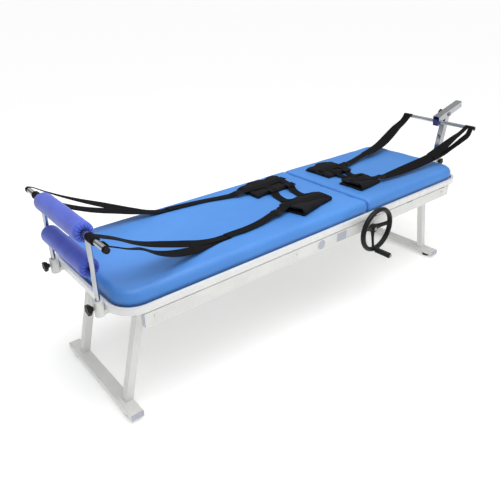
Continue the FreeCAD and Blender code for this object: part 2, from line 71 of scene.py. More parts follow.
# The lowest and highest corner of a frame node, in millimetres.
def reach(node):
    low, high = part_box(node)
    return (np.array(low) - zero) * 1000, (np.array(high) - zero) * 1000


camera = {
    "position": (-547.0, -1542.2, 1393.5),
    "pitch": 27.79,  # degrees below level
    "yaw": 40.23,  # degrees from the far side towards the head end
    "roll": 0.14,
    "lens": 36.51,
    "sensor": 36.0,
    "farthest": 60.0,  # metres
}

studio = {
    "horizon": 0.10,  # brightness of the sky round the horizon and overhead
    "overhead": 0.62,
    "rise": 0.8,  # how far up the sky has reached the second
    "backdrop": 0.97,  # brightness of the backdrop behind the object
    "sunFrom": (0.05, -0.85, 2.6),
    "sun": 1.1,
    "softness": 60.0,  # degrees across the sun
    "key": ((450, -350, 2100), (600, 0, 400), 1.4, 15.0),
    "side": ((2200, -3400, 1500), (1000, 0, 400), 2.4, 9.0),
    "back": ((600, 3400, 2600), (900, 0, 400), 2.4, 10.0),
    "floor": (0.96, 0.96, 0.96),
    "floorReach": 600.0,  # metres each way
    "floorRough": 0.8,
    "glow": 0.20,  # light the floor gives off, as a lit white sweep does
}


def newObject(name, data):
    obj = bpy.data.objects.new(name, data)
    bpy.context.scene.collection.objects.link(obj)
    return obj


def placeCamera():
    data = bpy.data.cameras.new("camera")
    data.lens = camera["lens"]
    data.sensor_width = camera["sensor"]
    data.clip_end = camera["farthest"]
    obj = newObject("camera", data)
    obj.location = place(camera["position"])
    turn = (90 - camera["pitch"], camera["roll"], -camera["yaw"])
    obj.rotation_euler = [math.radians(angle) for angle in turn]
    bpy.context.scene.camera = obj
    bpy.context.scene.view_settings.view_transform = "Standard"


def addLight(name, kind, position, target, power):
    data = bpy.data.lights.new(name, kind)
    data.energy = power
    obj = newObject(name, data)
    obj.location = place(position)
    aim = spot(target) - obj.location
    obj.rotation_euler = aim.to_track_quat("-Z", "Y").to_euler()
    return data


# Each value given for a node's inputs is a socket to link or a plain value.
def fill(tree, node, given):
    for slot, value in given.items():
        if isinstance(value, bpy.types.NodeSocket):
            tree.links.new(value, node.inputs[slot])
        elif value is not None:
            node.inputs[slot].default_value = value
    return node


def add(tree, kind, given={}):
    return fill(tree, tree.nodes.new("ShaderNode" + kind), given)


# The sky's brightness rises from the horizon upwards; the camera sees an even backdrop instead.
def placeLights():
    world = bpy.data.worlds.new("studio")
    bpy.context.scene.world = world
    world.use_nodes = True
    tree = world.node_tree
    split = add(tree, "SeparateXYZ", {0: add(tree, "TexCoord").outputs["Generated"]})
    rise = add(tree, "MapRange", {"Value": split.outputs["Z"], "From Max": studio["rise"],
                                  "To Min": studio["horizon"], "To Max": studio["overhead"]})
    seen = add(tree, "LightPath").outputs["Is Camera Ray"]
    pale = add(tree, "Mix", {0: seen, 2: rise.outputs[0], 3: studio["backdrop"]})
    fill(tree, tree.nodes["Background"], {"Color": (1, 1, 1, 1), "Strength": pale.outputs[0]})
    sun = addLight("sun", "SUN", np.array(studio["sunFrom"]) * 1000, (0, 0, 0), studio["sun"])
    sun.angle = math.radians(studio["softness"])
    for name in ("key", "side", "back"):
        position, target, size, power = studio[name]
        addLight(name, "AREA", position, target, power).size = size


# A screen colour in 0..255 to the linear colour that a shader socket takes.
def srgb(colour):
    c = np.array(colour[:3], float) / 255
    linear = np.where(c <= 0.04045, c / 12.92, ((c + 0.055) / 1.055) ** 2.4)
    return (*linear.tolist(), 1.0)


# Every group takes a vector first, then plain numbers.
def newGroup(name, inputs, outputs):
    tree = bpy.data.node_groups.new(name, "ShaderNodeTree")
    tree.interface.new_socket("Vector", in_out="INPUT", socket_type="NodeSocketVector")
    for label, value in inputs.items():
        socket = tree.interface.new_socket(label, in_out="INPUT", socket_type="NodeSocketFloat")
        socket.default_value = value
    for label, kind in outputs.items():
        tree.interface.new_socket(label, in_out="OUTPUT", socket_type="NodeSocket" + kind)
    return tree, tree.nodes.new("NodeGroupInput").outputs, tree.nodes.new("NodeGroupOutput")


def calc(tree, operation, *values, clamp=False):
    node = add(tree, "Math", dict(enumerate(values)))
    node.operation = operation
    node.use_clamp = clamp
    return node.outputs[0]


def noise(tree, vector, scale, detail, distortion=0.0):
    return add(tree, "TexNoise", {"Vector": vector, "Scale": scale, "Detail": detail,
                                  "Distortion": distortion}).outputs["Fac"]


# Grain: fine noise on top of a broad one, as in moulded plastic and sprayed paint.
def grainGroup():
    tree, given, result = newGroup("grain", {"Fine": 900.0, "Broad": 9.0},
                                   {"Fine": "Float", "Broad": "Float"})
    for label, (detail, twist) in (("Fine", effect["fine"]), ("Broad", effect["broad"])):
        fill(tree, result, {label: noise(tree, given["Vector"], given[label], detail, twist)})
    return tree


# Edge wear: where a rounded copy of the normal leaves the true one, broken up by noise.
def wearGroup():
    tree, given, result = newGroup("edgeWear", {"Radius": 0.001, "Amount": 0.5},
                                   {"Mask": "Float", "Normal": "Vector"})
    bevel = add(tree, "Bevel", {"Radius": given["Radius"]})
    bevel.samples = 4
    flat = add(tree, "NewGeometry").outputs["Normal"]
    dot = add(tree, "VectorMath", {0: bevel.outputs["Normal"], 1: flat})
    dot.operation = "DOT_PRODUCT"
    away = calc(tree, "SUBTRACT", 1.0, dot.outputs["Value"])
    rough = noise(tree, given["Vector"], *effect["scuffs"])
    mask = calc(tree, "MULTIPLY", calc(tree, "MULTIPLY", away, rough), given["Amount"])
    fill(tree, result, {"Mask": calc(tree, "MULTIPLY", mask, effect["wearGain"], clamp=True),
                        "Normal": bevel.outputs["Normal"]})
    return tree


# Dust: noise on faces that look up.
def dustGroup():
    tree, given, result = newGroup("dust", {"Amount": 0.2}, {"Mask": "Float"})
    split = add(tree, "SeparateXYZ", {0: add(tree, "NewGeometry").outputs["Normal"]})
    up = calc(tree, "MAXIMUM", split.outputs["Z"], 0.0)
    cloud = noise(tree, given["Vector"], *effect["dust"])
    mask = calc(tree, "MULTIPLY", calc(tree, "MULTIPLY", up, cloud), given["Amount"])
    fill(tree, result, {"Mask": mask})
    return tree


# Weave: across and along threads that pass over each other in turn, as two sine waves.
def weaveGroup():
    tree, given, result = newGroup("weave", {"Across": 4000.0, "Along": 2500.0},
                                   {"Height": "Float", "Thread": "Float"})
    split = add(tree, "SeparateXYZ", {0: given["Vector"]})
    across, along = (calc(tree, "SINE", calc(tree, "MULTIPLY", split.outputs[axis], given[count]))
                     for axis, count in (("X", "Across"), ("Y", "Along")))
    over = calc(tree, "MULTIPLY", across, along)
    fill(tree, result, {"Height": calc(tree, "MULTIPLY_ADD", over, 0.5, 0.5),
                        "Thread": calc(tree, "ABSOLUTE", along)})
    return tree


# Noise is given as detail and distortion, with its scale per metre first where that is fixed.
effect = {
    "fine": (3.0, 0.0),
    "broad": (4.0, 0.4),
    "scuffs": (60.0, 4.0),
    "dust": (35.0, 6.0, 0.6),
    "wearGain": 6.0,
    "dustColour": (188, 184, 176),
    "patchFrom": 0.35,  # broad noise where the first tone ends and the second is full
    "patchTo": 0.65,
    "glossSwing": 0.12,  # change of roughness over the broad noise
    "threadShare": 0.35,  # how much paler threads show
    "threadPaler": 9,
    "coatRough": 0.12,
    "sheenRough": 0.5,
}
groups = {"grain": grainGroup(), "wear": wearGroup(), "dust": dustGroup(), "weave": weaveGroup()}
print("node groups made")

# Colour and shade are the two tones of a finish, patch how broad its patches are (per metre),
# fine and fineHeight its grain, round the radius (metres) that its edges seem to have, wear and
# worn how much and in what colour those edges show, weave the threads across and along.
finishes = {
    "white_paint": dict(colour=(226, 226, 223), shade=(217, 218, 215), rough=0.34, coat=0.35,
        fine=420.0, fineHeight=4e-5, round=0.0016, wear=0.12, worn=(180, 180, 177), dust=0.10),
    "tray_white": dict(colour=(232, 232, 230), shade=(224, 225, 224), rough=0.28, coat=0.45,
        fine=260.0, fineHeight=3e-5, round=0.0022, wear=0.06, worn=(210, 210, 208), dust=0.08),
    "blue_vinyl": dict(colour=(72, 141, 220), shade=(65, 130, 208), rough=0.46, patch=2.2,
        fine=1500.0, fineHeight=0.0001, dust=0.05),
    "roller_cloth": dict(colour=(62, 90, 202), shade=(52, 76, 186), rough=0.62, patch=14.0,
        fine=1100.0, fineHeight=0.00018, sheen=0.35),
    "chrome": dict(colour=(190, 192, 196), shade=(172, 175, 180), rough=0.10, metal=1.0, fine=300.0,
        fineHeight=1e-5, round=0.0008),
    "bright_alu": dict(colour=(184, 187, 190), shade=(166, 169, 173), rough=0.27, metal=1.0,
        fine=700.0, fineHeight=3e-5, round=0.0010, wear=0.2, worn=(225, 226, 228)),
    "black_plastic": dict(colour=(8, 8, 10), shade=(13, 13, 16), rough=0.40, specular=0.22,
        fine=1300.0, fineHeight=5e-5, round=0.0010, wear=0.10, worn=(70, 71, 74), dust=0.03),
    "black_webbing": dict(colour=(7, 7, 9), shade=(13, 13, 16), rough=0.74, specular=0.14,
        patch=30.0, weave=(4200.0, 2100.0), weaveHeight=0.00035, fine=2400.0, fineHeight=5e-5),
    "black_padding": dict(colour=(14, 14, 17), shade=(23, 23, 27), rough=0.76, specular=0.16,
        patch=22.0, weave=(5200.0, 5200.0), weaveHeight=0.00012, useObject=True, fine=1800.0,
        fineHeight=8e-5),
    "blue_plastic": dict(colour=(38, 46, 118), shade=(32, 38, 104), rough=0.42, fine=900.0,
        fineHeight=4e-5, round=0.0012, wear=0.1, worn=(70, 78, 150)),
    "steel": dict(colour=(168, 170, 174), shade=(150, 152, 156), rough=0.32, metal=1.0, fine=800.0,
        fineHeight=3e-5, round=0.0006),
    "brass": dict(colour=(201, 164, 92), shade=(178, 140, 74), rough=0.34, metal=1.0, fine=800.0,
        fineHeight=3e-5, round=0.0006),
    "grey_plate": dict(colour=(186, 188, 198), shade=(176, 178, 190), rough=0.45, fine=900.0,
        fineHeight=2e-5, round=0.0003),
    "rubber": dict(colour=(34, 34, 35), shade=(44, 44, 45), rough=0.72, fine=900.0,
        fineHeight=0.0001, round=0.0010, dust=0.10),
}


def addGroup(tree, name, **given):
    node = tree.nodes.new("ShaderNodeGroup")
    node.node_tree = groups[name]
    return fill(tree, node, given).outputs


def blendColour(tree, factor, first, second):
    node = tree.nodes.new("ShaderNodeMix")
    node.data_type = "RGBA"
    return fill(tree, node, {0: factor, 6: first, 7: second}).outputs[2]


def addBump(tree, height, distance, normal):
    return add(tree, "Bump", {"Strength": 1.0, "Distance": distance, "Height": height,
                              "Normal": normal}).outputs["Normal"]


# Two tones mixed by broad noise, then worn edges, threads and dust over them, with a bump of fine
# grain on top.
def makeFinish(name, settings):
    material = bpy.data.materials.new(name)
    material.use_nodes = True
    tree = material.node_tree
    where = add(tree, "TexCoord").outputs
    vector = where["Object"]
    grain = addGroup(tree, "grain", Vector=vector, Fine=settings["fine"],
                     Broad=settings.get("patch", 9.0))
    spread = add(tree, "MapRange", {"Value": grain["Broad"], "From Min": effect["patchFrom"],
                                    "From Max": effect["patchTo"]})
    colour = blendColour(tree, spread.outputs[0], srgb(settings["colour"]), srgb(settings["shade"]))
    normal = None
    if "round" in settings:
        wear = addGroup(tree, "wear", Vector=vector, Radius=settings["round"],
                        Amount=settings.get("wear", 0.0))
        normal = wear["Normal"]
        if settings.get("wear"):
            colour = blendColour(tree, wear["Mask"], colour, srgb(settings["worn"]))
    if "weave" in settings:
        across, along = settings["weave"]
        pattern = vector if settings.get("useObject") else where["UV"]
        weave = addGroup(tree, "weave", Vector=pattern, Across=across, Along=along)
        thread = calc(tree, "MULTIPLY", weave["Thread"], effect["threadShare"])
        paler = srgb([c + effect["threadPaler"] for c in settings["shade"]])
        colour = blendColour(tree, thread, colour, paler)
        normal = addBump(tree, weave["Height"], settings["weaveHeight"], normal)
    if settings.get("dust"):
        dust = addGroup(tree, "dust", Vector=vector, Amount=settings["dust"])
        colour = blendColour(tree, dust["Mask"], colour, srgb(effect["dustColour"]))
    swing = effect["glossSwing"]
    fill(tree, tree.nodes["Principled BSDF"], {
        "Base Color": colour,
        "Roughness": calc(tree, "MULTIPLY_ADD", grain["Broad"], swing, settings["rough"] - swing / 2),
        "Normal": addBump(tree, grain["Fine"], settings["fineHeight"], normal),
        "Metallic": settings.get("metal", 0.0),
        "Coat Weight": settings.get("coat", 0.0),
        "Coat Roughness": effect["coatRough"],
        "Specular IOR Level": settings.get("specular", 0.5),
        "Sheen Weight": settings.get("sheen", 0.0),
        "Sheen Roughness": effect["sheenRough"],
    })
    return material


materials = {name: makeFinish(name, settings) for name, settings in finishes.items()}
for part in frame["record"]["subparts"]:
    node = nodes[part["node"]]
    node.data.materials.clear()
    node.data.materials.append(materials[part["material_slot"]])
print("finishes made")


# Six times the volume inside a closed skin, below nothing when its faces look inwards: the sum of
# each triangle's first corner dotted with the cross product of the other two.
def closedVolume(points, triangles):
    a, b, c = (points[triangles[:, i]] for i in range(3))
    return np.einsum("ij,ij->i", a, np.cross(b, c)).sum()


# A closed skin over a grid of points, rows by columns: the last column joins the first,
# and each end row is closed by a fan to its middle, or joined to the other end.
def surface(name, grid, slot, wrapRows=False, uv=None):
    rows, cols = grid.shape[:2]
    index = np.arange(rows * cols).reshape(rows, cols)
    below = np.roll(index, -1, 0)
    quads = np.stack([index, np.roll(index, -1, 1), np.roll(below, -1, 1), below], -1)
    quads = quads.reshape(-1, 4) if wrapRows else quads[:-1].reshape(-1, 4)
    points = grid.reshape(-1, 3)
    fans = np.zeros((0, 3), int)
    for row, turn in () if wrapRows else ((0, 1), (rows - 1, -1)):
        ring = index[row]
        middle = np.full(cols, len(points))
        points = np.vstack([points, grid[row].mean(0)])
        fan = np.stack([np.roll(ring, -1), ring, middle], -1)
        fans = np.vstack([fans, fan[:, ::turn]])
    triangles = np.vstack([quads[:, :3], quads[:, [0, 2, 3]], fans])
    if closedVolume(points - points.mean(0), triangles) < 0:
        quads = quads[:, ::-1]
        fans = fans[:, ::-1]
    mesh = bpy.data.meshes.new(name)
    mesh.from_pydata(place(points).tolist(), [], quads.tolist() + fans.tolist())
    if uv is not None:
        flat = np.vstack([uv.reshape(-1, 2), np.zeros((len(points) - rows * cols, 2))])
        corners = np.zeros(len(mesh.loops), int)
        mesh.loops.foreach_get("vertex_index", corners)
        layer = mesh.uv_layers.new(name="UVMap")
        layer.data.foreach_set("uv", flat[corners].ravel())
    mesh.shade_smooth()
    mesh.materials.append(materials[slot])
    return newObject(name, mesh)


def finishPiece(obj, body, node):
    if body:
        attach(obj, body)
    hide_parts(node)
    return obj


# Even samples of a curve through the stations: between two of them the cubic whose slopes
# are those between their neighbours. Extra columns, such as a width, go along with it.
def smoothLine(stations, step):
    p = np.asarray(stations, float)
    t = lengths(p[:, :3])
    slope = np.gradient(p, t, axis=0)
    s = np.linspace(0, t[-1], max(int(t[-1] / step), 8) + 1)
    i = np.clip(np.searchsorted(t, s, side="right") - 1, 0, len(t) - 2)
    h = (t[i + 1] - t[i])[:, None]
    u = (s - t[i])[:, None] / h
    return ((2 * u**3 - 3 * u**2 + 1) * p[i] + (u**3 - 2 * u**2 + u) * h * slope[i]
            + (3 * u**2 - 2 * u**3) * p[i + 1] + (u**3 - u**2) * h * slope[i + 1])


def circle(count):
    return np.linspace(0, 2 * math.pi, count, endpoint=False)


# How far along a line of points each one lies.
def lengths(points, least=0.0):
    steps = np.linalg.norm(np.diff(points, axis=0), axis=1) + least
    return np.concatenate([[0], np.cumsum(steps)])


def unit(rows):
    return rows / np.maximum(np.linalg.norm(rows, axis=-1, keepdims=True), 1e-9)


# Smooth noise from -1 to 1: a sum of sine waves in seeded directions, size in millimetres.
def ripple(points, size, seed):
    waves = 10
    random = np.random.default_rng(seed)
    way = unit(random.normal(size=(waves, 3))) * (2 * math.pi / size)
    way = way * random.uniform(0.6, 1.6, (waves, 1))
    phase = random.uniform(0, 2 * math.pi, waves)
    return np.sin(points @ way.T + phase).sum(-1) / math.sqrt(waves * 2)


# The outline of webbing: flat faces, with edges rounded by half its thickness.
def bandProfile(width, thick, columns):
    x = np.linspace(-width / 2 + thick / 2, width / 2 - thick / 2, columns)
    turn = np.linspace(math.pi / 2, -math.pi / 2, 4)[1:-1]
    right = np.stack([width / 2 - thick / 2 + np.cos(turn) * thick / 2, np.sin(turn) * thick / 2], -1)
    top = np.stack([x, np.full(columns, thick / 2)], -1)
    return np.vstack([top, right, -top, -right])


# A flat band: columns of line are its centre, the direction across it and its width.
def webbing(name, line):
    centre, across, width = line[:, :3], line[:, 3:6], line[:, 6]
    run = unit(np.gradient(centre, axis=0))
    across = unit(across - run * (across * run).sum(1, keepdims=True))
    up = np.cross(across, run)
    shape = bandProfile(strap["width"], strap["thick"], strap["columns"])
    side = shape[:, 0] / strap["width"]
    grid = (centre[:, None] + across[:, None] * (side[None, :] * width[:, None])[..., None]
            + up[:, None] * shape[None, :, 1, None])
    along = lengths(centre)
    uv = np.stack(np.broadcast_arrays(side[None, :] * width[:, None], along[:, None]), -1) / 1000
    return surface(name, grid, "black_webbing", uv=uv)


# Points about an axis across the bed: the radius turned by the angle about a centre, at each y.
def turned(centre, r, angle, y):
    x, z = centre[0] + r * np.cos(angle), centre[2] + r * np.sin(angle)
    return np.stack(np.broadcast_arrays(x, y, z), -1)


def meshPoints(mesh):
    flat = np.zeros(len(mesh.vertices) * 3)
    mesh.vertices.foreach_get("co", flat)
    return (flat.reshape(-1, 3) - zero) * 1000


def applyModifiers(obj):
    bpy.context.view_layer.update()
    made = bpy.data.meshes.new_from_object(obj.evaluated_get(bpy.context.evaluated_depsgraph_get()))
    obj.modifiers.clear()
    old = obj.data
    name = old.name
    obj.data = made
    bpy.data.meshes.remove(old)
    made.name = name
    made.shade_smooth()


def remesh(obj, size):
    even = obj.modifiers.new("even", "REMESH")
    even.mode = "VOXEL"
    even.voxel_size = size / 1000


def soften(obj, factor, times):
    soft = obj.modifiers.new("soft", "SMOOTH")
    soft.factor = factor
    soft.iterations = times


fabric = {
    "quality": 5,
    "mass": 0.3,
    "frames": 20,
    "soften": 0.5,
}


# Padded cloth: remeshed evenly, blown up for 20 frames without gravity, no point let past
# the cap or out of the room it has, then divided once.
def swell(obj, settings, low, high):
    remesh(obj, settings["voxel"])
    applyModifiers(obj)
    start = meshPoints(obj.data)
    moved = start
    cloth = obj.modifiers.new("cloth", "CLOTH")
    cloth.settings.quality = fabric["quality"]
    cloth.settings.mass = fabric["mass"]
    cloth.settings.use_pressure = True
    cloth.settings.uniform_pressure_force = settings["pressure"]
    cloth.settings.shrink_min = -settings["grow"]
    cloth.settings.effector_weights.gravity = 0
    for number in range(1, fabric["frames"] + 1):
        bpy.context.scene.frame_set(number)
    bpy.context.view_layer.update()
    swollen = obj.evaluated_get(bpy.context.evaluated_depsgraph_get())
    moved = meshPoints(swollen.data)
    obj.modifiers.clear()
    bpy.context.scene.frame_set(1)
    change = moved - start
    size = np.linalg.norm(change, axis=1, keepdims=True)
    moved = start + change * np.minimum(1, settings["cap"] / np.maximum(size, 1e-6))
    obj.data.vertices.foreach_set("co", place(np.clip(moved, low, high)).ravel())
    obj.data.update()
    soften(obj, fabric["soften"], 1)
    divide = obj.modifiers.new("divide", "SUBSURF")
    divide.levels = 1
    divide.render_levels = 1
    applyModifiers(obj)
    return obj


pad = {
    "radius": 88.0,  # corners seen from above
    "square": 2.0,  # corners where the two pads meet
    "round": (24.0, 34.0),  # top edge: across and down
    "tuck": 9.0,  # how far the side draws in at the tray
    "joint": 0.04,  # share of that rounding where the two pads meet
    "crown": 3.0,  # how much higher the middle is than the edge
    "columns": 240,  # points round each ring
    "voxel": 9.0,
    "cap": 5.0,
    "pressure": 1.5,
    "grow": 0.004,
    "room": (0.4, 2.0),  # how far it may swell past its own box: sideways and up
    "fill": 0.9,
}


# Outline of a rectangle with four corner radii, counter-clockwise from the far right.
def roundedBox(low, high, corners, columns):
    quarters = ((1, 1), (-1, 1), (-1, -1), (1, -1))
    marks = []
    for (sx, sy), radius, start in zip(quarters, corners, (0, 90, 180, 270)):
        x = high[0] - radius if sx > 0 else low[0] + radius
        y = high[1] - radius if sy > 0 else low[1] + radius
        turn = np.radians(np.linspace(start, start + 90, 12))
        marks.append(np.stack([x + radius * np.cos(turn), y + radius * np.sin(turn)], -1))
    ring = np.vstack(marks + [marks[0][:1]])
    t = lengths(ring, 1e-6)
    s = np.linspace(0, t[-1], columns + 1)[:-1]
    return np.stack([np.interp(s, t, ring[:, 0]), np.interp(s, t, ring[:, 1])], -1)


# Rings from the base up: a tucked foot, a wall, an edge that is a quarter of an ellipse, then a
# crown that rises as one less the fourth power of the distance from the middle.
def makePad(name, node, body, corners, jointSide):
    low, high = reach(node)
    across, down = pad["round"]
    top = high[2] - pad["crown"]
    turn = np.linspace(0, math.pi / 2, 10)
    widest = top - down
    profile = [(pad["tuck"] * share**2, low[2] + (widest - low[2]) * (1 - share))
               for share in (1.0, 0.7, 0.4, 0.15)]
    profile += [(across * (1 - math.cos(a)), top - down + down * math.sin(a)) for a in turn]
    inLow = np.array([pad["joint"] if jointSide < 0 else 1.0, 1.0])
    inHigh = np.array([pad["joint"] if jointSide > 0 else 1.0, 1.0])
    rings = []
    for inset, z in profile:
        outline = roundedBox(low[:2] + inset * inLow, high[:2] - inset * inHigh,
                             [max(c - inset, 1.0) for c in corners], pad["columns"])
        rings.append(np.column_stack([outline, np.full(len(outline), z)]))
    last = rings[-1]
    middle = (low + high)[:2] / 2
    for share in np.linspace(0.96, 0.04, 14):
        ring = last.copy()
        ring[:, :2] = middle + (last[:, :2] - middle) * share
        ring[:, 2] += pad["crown"] * (1 - share**4)
        rings.append(ring)
    obj = surface(name, np.array(rings), "blue_vinyl")
    side, rise = pad["room"]
    swell(obj, pad, low - [side, side, 0], high + [side, side, rise])
    return finishPiece(obj, body, node)


wide, square = pad["radius"], pad["square"]
makePad("footPad", "foot_pad", "foot_section", (square, wide, wide, square), 1)
makePad("headPad", "head_pad", "base", (wide, square, square, wide), -1)
print("pads made")

roller = {
    "round": 16.0,  # where the sleeve turns in at the end
    "pleats": 15,
    "pleatDepth": 3.6,
    "hollow": 5.0,  # how far the gathered end sinks in
    "mouth": 0.6,  # gap to the bar at the end face and inside
    "bore": 0.4,
    "wrinkle": (46, 0.5),  # size and height of its unevenness
    "columns": 120,  # points round it
    "fill": 0.9,
}


# A sleeve turned about the bar: straight, rounded in at each end, then gathered into
# radial pleats whose depth is a cosine of the angle and grows from the edge inwards.
def makeRoller(name, node, bore):
    low, high = reach(node)
    middle = (low + high) / 2
    radius = (high[2] - low[2]) / 2
    half = (high[1] - low[1]) / 2
    edge = roller["round"]
    arc = np.linspace(0, math.pi / 2, 8)[1:]
    body = np.linspace(-half + edge, half - edge, 60)
    face = np.linspace(radius - edge, bore + roller["mouth"], 9)[1:]
    ends = half - roller["hollow"] * ((radius - edge - face) / (radius - edge - bore)) ** 1.3
    y = np.concatenate([-ends[::-1], -(half - edge) - edge * np.sin(arc[::-1]), body,
                        half - edge + edge * np.sin(arc), ends])
    r = np.concatenate([face[::-1], radius - edge + edge * np.cos(arc[::-1]),
                        np.full(len(body), radius), radius - edge + edge * np.cos(arc), face])
    angle = circle(roller["columns"])
    gather = np.clip((radius - r) / (radius - bore), 0, 1)
    pleat = roller["pleats"] * angle[None] + 0.8 * np.sin(3 * angle[None])
    fold = np.cos(pleat) * gather[:, None] ** 0.6
    grid = turned(middle, r[:, None], angle, middle[1] + y[:, None])
    out = np.sign(y)[:, None] * fold * roller["pleatDepth"] * (gather[:, None] > 0.02)
    grid[..., 1] += out - np.sign(y)[:, None] * roller["pleatDepth"] * gather[:, None]
    size, height = roller["wrinkle"]
    wrinkle = ripple(grid * [1, 0.35, 1], size, len(name)) * height
    grid[..., 0] += wrinkle * np.cos(angle)
    grid[..., 2] += wrinkle * np.sin(angle)
    inner = turned(middle, bore + roller["bore"], angle, middle[1])
    tube = [inner + [0, side * (half - roller["hollow"] - 3), 0] for side in (1, -1)]
    obj = surface(name, np.concatenate([grid, tube]), "roller_cloth", wrapRows=True)
    return finishPiece(obj, node, node)


def halfHeight(node):
    low, high = reach(node)
    return (high[2] - low[2]) / 2


barRadius = halfHeight("bar_end_caps") - 1
makeRoller("upperRoller", "upper_roller", barRadius)
makeRoller("lowerRoller", "lower_roller", halfHeight("lower_bar"))
print("rollers made")

strap = {
    "width": 36.0,
    "main": 38.0,  # length that lies on the pad
    "head": 48.0,
    "headEnd": 26.0,  # where a head loop passes its bar
    "thick": 2.4,
    "columns": 7,  # points across each flat face
    "step": 6.0,
    "sleeve": (197.0, 48.0),  # webbing wound on the top bar beside each post: from, and length
    "wound": 3.0,  # its extra thickness there, from the turns under it
    "lap": 1.3,  # height of its free end
    "footInner": (219.0, 36.0, 30.0, 55.0),  # loop on the top bar: place along it, width,
    "footOuter": (310.5, 9.0, 26.0, 8.0),  # degrees its run falls, sewn length behind it
    "headInner": 183.0,  # loops on the spreader bar: place along it
    "headOuter": 209.0,
    "headFall": (42.0, 10.0),
}
padTop = reach("foot_pad")[1][2]
topBar = sum(reach("top_bar")) / 2
spreader = sum(reach("spreader_bar")) / 2
spreaderRadius = halfHeight("spreader_bar")


# Stations of webbing that lies across one direction: centre, direction, width.
def level(points, width=None, across=(0.0, 1.0, 0.0)):
    p = np.asarray(points, float)
    wide = np.full(len(p), width or strap["width"])
    return np.column_stack([p, np.tile(across, (len(p), 1)), wide])


# Webbing that hangs clear of the pad turns its flat side towards the near side and up.
def twisted(points, twist, width=None):
    line = level(points, width)
    angle = np.radians(np.broadcast_to(twist, len(line)))
    line[:, 3:6] = np.stack([np.zeros(len(angle)), np.cos(angle), np.sin(angle)], -1)
    return line


# Stations round a bar: a sewn tail under the run, then a circle from the lower to the
# upper point where a run that falls by this angle touches it.
def barLoop(centre, radius, y, fall, tail):
    r = radius + strap["thick"] / 2 + 0.2
    turn = np.radians(np.linspace(-fall - 90, -fall - 270, 15))
    arc = turned(centre, r, turn, y)
    run = np.array([math.cos(math.radians(fall)), 0, -math.sin(math.radians(fall))])
    under = arc[0] + run * tail + np.array([0, 0, 1]) * r * 0.72
    half = arc[0] + run * tail * 0.5 + np.array([0, 0, 1]) * r * 0.3
    return np.vstack([under, half, arc])


# Webbing through the stations; where it crosses one of the pieces it lies on its top.
def band(name, stations, over=()):
    line = smoothLine(stations, strap["step"])
    trees = [BVHTree.FromObject(obj, bpy.context.evaluated_depsgraph_get()) for obj in over]
    above = place(line[:, :3] * [1, 1, 0] + [0, 0, padTop + 200])
    for tree in trees:
        hits = [tree.ray_cast(Vector(point), Vector((0, 0, -1)))[0] for point in above]
        tops = np.array([hit.z * 1000 if hit else -1e3 for hit in hits])
        line[:, 2] = np.maximum(line[:, 2], tops + strap["thick"] / 2 + 0.4)
    if over:
        padded = np.pad(line[:, 2], 3, mode="edge")
        line[:, 2] = np.maximum(line[:, 2], np.convolve(padded, np.ones(7) / 7, "valid"))
    return webbing(name, line)


# Three lengths a side: two from the top bar that meet on the pad, one on to the belt.
def footStrapSide(label, side, start, inner, outer, rest):
    made = []
    for part, points in (("Inner", inner), ("Outer", outer)):
        y, width, fall, tail = strap["foot" + part]
        loop = barLoop(topBar, barRadius, side * y, fall, tail)
        twist = np.interp([p[0] for p in points], [60, 260, 330, 450], [start, 22, 20, 0])
        line = np.vstack([level(loop, width), twisted(points, twist)])
        line[:, 6] = np.interp(line[:, 0], [20, 190], [width, strap["width"]])
        made.append(band("footStrap%s%s" % (part, label), line))
    made.append(band("footStrapMain" + label, level(rest, strap["main"])))
    for obj in made:
        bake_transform(obj)
        finishPiece(obj, None, "foot_straps")


footStrapSide(
    "Near", -1, 0.0,
    [(41, -209, 697), (86, -200, 668), (130, -190, 643), (228, -171, 601), (330, -154, 563),
     (395, -150, 545), (455, -151, 537), (520, -154, 536)],
    [(30, -300, 702), (91, -268, 668), (156, -240, 620), (248, -214, 576), (335, -190, 551),
     (400, -171, 539), (455, -160, 533), (515, -157, 533)],
    [(505, -155, 538.5), (540, -155, 539), (590, -158, 540), (640, -155, 540),
     (700, -148, 543), (760, -138, 549), (800, -131, 550)])
footStrapSide(
    "Far", 1, 16.0,
    [(40, 225, 672), (105, 222, 640), (180, 220, 612), (230, 218, 597), (304, 217, 573),
     (371, 216, 553), (420, 215, 538), (470, 213, 534.5), (520, 209, 534.5)],
    [(16, 305, 706), (66, 299, 678), (133, 284, 646), (203, 264, 617), (262, 245, 594),
     (330, 230, 567), (390, 220, 547), (440, 216, 537.5), (500, 211, 537)],
    [(470, 213, 539), (530, 207, 538), (590, 200, 537), (660, 190, 536), (730, 170, 538),
     (790, 150, 543), (830, 138, 549)])


# Two loops from the end of the spreader bar to a sewn joint, one length on to the belt.
def headStrapSide(label, side, join, inner, outer, rest, joinWidth, twists):
    loops = []
    narrow = strap["headEnd"]
    for part, points, twist in (("Inner", inner, twists[0]), ("Outer", outer, twists[1])):
        y = side * strap["head" + part]
        run = barLoop(spreader * [-1, 1, 1], spreaderRadius, y, *strap["headFall"])
        run[:, 0] *= -1
        line = np.vstack([level(run, narrow), twisted(points, twist)])
        widens = [join[0] + 90, spreader[0] - 30]
        line[:, 6] = np.interp(line[:, 0], widens, [strap["head"], narrow])
        loops.append(band("spreaderLoop%s%s" % (part, label), line))
    for obj in loops:
        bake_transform(obj)
        finishPiece(obj, None, "spreader_loops")
    stations = np.column_stack([twisted(rest, twists[2])[:, :6], joinWidth])
    lower = band("chestStrap" + label, stations)
    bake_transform(lower)
    finishPiece(lower, None, "chest_straps")


